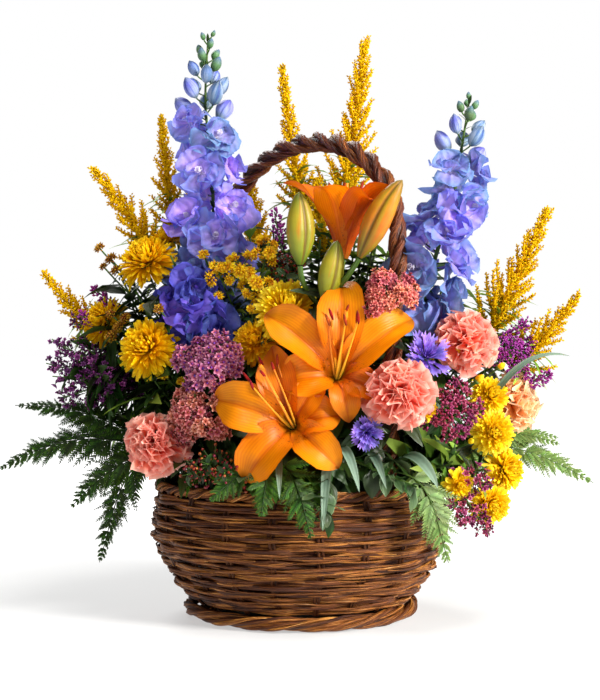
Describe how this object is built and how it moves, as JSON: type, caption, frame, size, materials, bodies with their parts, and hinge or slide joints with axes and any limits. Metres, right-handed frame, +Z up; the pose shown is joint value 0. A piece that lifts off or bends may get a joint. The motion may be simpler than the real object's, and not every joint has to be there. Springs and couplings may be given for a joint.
{
  "type": "flower basket arrangement",
  "caption": "Round brown wicker basket with a twisted arched handle, holding a dense arrangement of cut lilies, delphiniums, carnations, goldenrod, mums and ferns",
  "frame": {"origin": "centre of the basket's base, on the surface it stands on", "axes": "+Z up along the basket's axis, -Y towards the front of the arrangement, +X to the viewer's right"},
  "size_m": [0.586, 0.4059, 0.583],
  "materials": {
    "wicker": "varnished brown willow",
    "dark_wicker": "varnished dark red-brown willow",
    "liner": "thin dark film",
    "foam": "soaked floral foam",
    "lily_orange": "satin petals",
    "lily_bud": "satin",
    "green_stem": "satin",
    "delphinium_blue": "soft petals",
    "carnation_salmon": "soft petals",
    "carnation_peach": "soft petals",
    "chrysanthemum_yellow": "soft petals",
    "button_ochre": "matt",
    "goldenrod_gold": "matt",
    "stonecrop_mauve": "matt",
    "stonecrop_rose": "matt",
    "stonecrop_coral": "matt",
    "stonecrop_burgundy": "matt",
    "stonecrop_magenta": "matt",
    "statice_purple": "matt",
    "cornflower_violet": "matt",
    "aster_yellow": "matt",
    "berry_red": "satin",
    "fern_green": "satin",
    "cedar_green": "satin",
    "eucalyptus_green": "waxy"
  },
  "bodies": {
    "root": {"basket_base": "wicker", "basket_wall": "wicker", "basket_rim": "wicker", "basket_foot": "dark_wicker", "basket_handle": "dark_wicker", "liner": "liner", "floral_foam": "foam", "lily_front_left": "lily_orange", "lily_front_right": "lily_orange", "lily_back": "lily_orange", "lily_bud_left": "lily_bud", "lily_bud_centre": "lily_bud", "lily_bud_right": "lily_bud", "lily_stem": "green_stem", "delphinium_left": "delphinium_blue", "delphinium_right": "delphinium_blue", "delphinium_low": "delphinium_blue", "carnation_front": "carnation_salmon", "carnation_left": "carnation_salmon", "carnation_right": "carnation_salmon", "carnation_back": "carnation_salmon", "carnation_peach": "carnation_peach", "chrysanthemum_left": "chrysanthemum_yellow", "chrysanthemum_centre": "chrysanthemum_yellow", "chrysanthemum_far_left": "chrysanthemum_yellow", "chrysanthemum_top_left": "chrysanthemum_yellow", "chrysanthemum_back_left": "chrysanthemum_yellow", "chrysanthemum_back_right": "chrysanthemum_yellow", "chrysanthemum_spray": "chrysanthemum_yellow", "button_flower": "button_ochre", "cornflower_right": "cornflower_violet", "cornflower_front": "cornflower_violet", "stonecrop_mauve": "stonecrop_mauve", "stonecrop_pink": "stonecrop_rose", "stonecrop_coral": "stonecrop_coral", "stonecrop_burgundy": "stonecrop_burgundy", "stonecrop_magenta": "stonecrop_magenta", "stonecrop_low": "stonecrop_burgundy", "statice_left": "statice_purple", "statice_back": "statice_purple", "aster_yellow": "aster_yellow", "berries_top": "berry_red", "berries_rim": "berry_red", "goldenrod_low_left": "goldenrod_gold", "goldenrod_left": "goldenrod_gold", "goldenrod_rear_left": "goldenrod_gold", "goldenrod_behind_handle": "goldenrod_gold", "goldenrod_tall": "goldenrod_gold", "goldenrod_inner": "goldenrod_gold", "goldenrod_right": "goldenrod_gold", "goldenrod_low_right": "goldenrod_gold", "goldenrod_back": "goldenrod_gold", "fern_left": "fern_green", "fern_right": "fern_green", "fern_front": "fern_green", "fern_back": "fern_green", "cedar_front": "cedar_green", "eucalyptus_front": "eucalyptus_green", "eucalyptus_low": "eucalyptus_green", "eucalyptus_back": "eucalyptus_green"}
  },
  "joints": []
}
